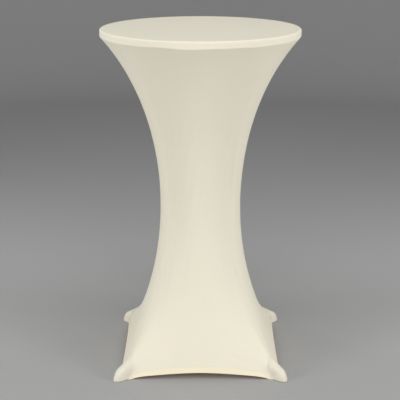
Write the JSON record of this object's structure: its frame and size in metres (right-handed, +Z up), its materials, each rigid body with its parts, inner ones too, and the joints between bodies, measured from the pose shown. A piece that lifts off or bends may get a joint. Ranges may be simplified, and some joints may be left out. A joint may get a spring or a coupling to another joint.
{
  "type": "stretch table cover on a pedestal bar table",
  "caption": "Round pedestal bar table in a stretch cloth cover that pulls in to a waist and runs out to pockets over its levelling feet.",
  "frame": {"origin": "on the floor under the middle of the column", "axes": "+Z up along the column, -Y towards the front face, legs on the diagonals"},
  "size_m": [0.65, 0.65, 1.11],
  "materials": {
    "stretch_cloth": "ivory elastane knit with a soft sheen",
    "hem_elastic": "woven elastic tape",
    "seam_thread": "overlocked thread",
    "pocket_cloth": "doubled, coated cloth",
    "label_satin": "blank satin tape",
    "board_wood": "sealed chipboard",
    "edge_plastic": "satin bumper edge",
    "frame_enamel": "silver-grey powder coat",
    "zinc_steel": "zinc plated",
    "cap_plastic": "moulded black",
    "pad_rubber": "matte black"
  },
  "bodies": {
    "table": {"top_panel": "stretch_cloth", "skirt_front": "stretch_cloth", "skirt_right": "stretch_cloth", "skirt_back": "stretch_cloth", "skirt_left": "stretch_cloth", "hem_tape_front": "hem_elastic", "hem_tape_right": "hem_elastic", "hem_tape_back": "hem_elastic", "hem_tape_left": "hem_elastic", "corner_seam_front_right": "seam_thread", "corner_seam_back_right": "seam_thread", "corner_seam_back_left": "seam_thread", "corner_seam_front_left": "seam_thread", "top_seam": "seam_thread", "care_label": "label_satin", "top_board": "board_wood", "edge_band": "edge_plastic", "top_plate": "frame_enamel", "top_collar": "frame_enamel", "column": "frame_enamel", "base_hub": "frame_enamel", "leg_front_right": "frame_enamel", "leg_back_right": "frame_enamel", "leg_back_left": "frame_enamel", "leg_front_left": "frame_enamel", "top_plate_screws": "zinc_steel", "collar_screws": "zinc_steel", "leg_screws": "zinc_steel", "rod_anchor": "zinc_steel", "tie_rod": "zinc_steel", "tie_rod_nut": "zinc_steel", "tie_rod_washer": "zinc_steel", "glide_insert_front_right": "zinc_steel", "glide_insert_back_right": "zinc_steel", "glide_insert_back_left": "zinc_steel", "glide_insert_front_left": "zinc_steel", "leg_cap_front_right": "cap_plastic", "leg_cap_back_right": "cap_plastic", "leg_cap_back_left": "cap_plastic", "leg_cap_front_left": "cap_plastic"},
    "pocket_front_right": {"foot_pocket_front_right": "pocket_cloth", "pocket_sole_front_right": "pocket_cloth"},
    "pad_front_right": {"glide_pad_front_right": "pad_rubber"},
    "stem_front_right": {"glide_stem_front_right": "zinc_steel"},
    "pocket_back_right": {"foot_pocket_back_right": "pocket_cloth", "pocket_sole_back_right": "pocket_cloth"},
    "pad_back_right": {"glide_pad_back_right": "pad_rubber"},
    "stem_back_right": {"glide_stem_back_right": "zinc_steel"},
    "pocket_back_left": {"foot_pocket_back_left": "pocket_cloth", "pocket_sole_back_left": "pocket_cloth"},
    "pad_back_left": {"glide_pad_back_left": "pad_rubber"},
    "stem_back_left": {"glide_stem_back_left": "zinc_steel"},
    "pocket_front_left": {"foot_pocket_front_left": "pocket_cloth", "pocket_sole_front_left": "pocket_cloth"},
    "pad_front_left": {"glide_pad_front_left": "pad_rubber"},
    "stem_front_left": {"glide_stem_front_left": "zinc_steel"}
  },
  "joints": [
    {"name": "pocket_pull_front_right", "type": "slide", "parent": "table", "child": "pocket_front_right", "axis": [0.7071, -0.7071, 0], "range_m": [0, 0.05], "stiffness_N_per_m": 400, "springref_m": -0.005},
    {"name": "glide_rise_front_right", "type": "slide", "parent": "table", "child": "pad_front_right", "axis": [0, 0, 1], "range_m": [0, 0.005]},
    {"name": "glide_turn_front_right", "type": "hinge", "parent": "pad_front_right", "child": "stem_front_right", "pos_m": [0.24324, -0.24324, 0.01], "axis": [0, 0, 1], "range_deg": [0, 1440]},
    {"name": "pocket_pull_back_right", "type": "slide", "parent": "table", "child": "pocket_back_right", "axis": [0.7071, 0.7071, 0], "range_m": [0, 0.05], "stiffness_N_per_m": 400, "springref_m": -0.005},
    {"name": "glide_rise_back_right", "type": "slide", "parent": "table", "child": "pad_back_right", "axis": [0, 0, 1], "range_m": [0, 0.005]},
    {"name": "glide_turn_back_right", "type": "hinge", "parent": "pad_back_right", "child": "stem_back_right", "pos_m": [0.24324, 0.24324, 0.01], "axis": [0, 0, 1], "range_deg": [0, 1440]},
    {"name": "pocket_pull_back_left", "type": "slide", "parent": "table", "child": "pocket_back_left", "axis": [-0.7071, 0.7071, 0], "range_m": [0, 0.05], "stiffness_N_per_m": 400, "springref_m": -0.005},
    {"name": "glide_rise_back_left", "type": "slide", "parent": "table", "child": "pad_back_left", "axis": [0, 0, 1], "range_m": [0, 0.005]},
    {"name": "glide_turn_back_left", "type": "hinge", "parent": "pad_back_left", "child": "stem_back_left", "pos_m": [-0.24324, 0.24324, 0.01], "axis": [0, 0, 1], "range_deg": [0, 1440]},
    {"name": "pocket_pull_front_left", "type": "slide", "parent": "table", "child": "pocket_front_left", "axis": [-0.7071, -0.7071, 0], "range_m": [0, 0.05], "stiffness_N_per_m": 400, "springref_m": -0.005},
    {"name": "glide_rise_front_left", "type": "slide", "parent": "table", "child": "pad_front_left", "axis": [0, 0, 1], "range_m": [0, 0.005]},
    {"name": "glide_turn_front_left", "type": "hinge", "parent": "pad_front_left", "child": "stem_front_left", "pos_m": [-0.24324, -0.24324, 0.01], "axis": [0, 0, 1], "range_deg": [0, 1440]}
  ],
  "couplings": [
    {"joint": "glide_turn_front_right", "follows": "glide_rise_front_right", "rad_per_m": 5026.5},
    {"joint": "glide_turn_back_right", "follows": "glide_rise_back_right", "rad_per_m": 5026.5},
    {"joint": "glide_turn_back_left", "follows": "glide_rise_back_left", "rad_per_m": 5026.5},
    {"joint": "glide_turn_front_left", "follows": "glide_rise_front_left", "rad_per_m": 5026.5}
  ]
}
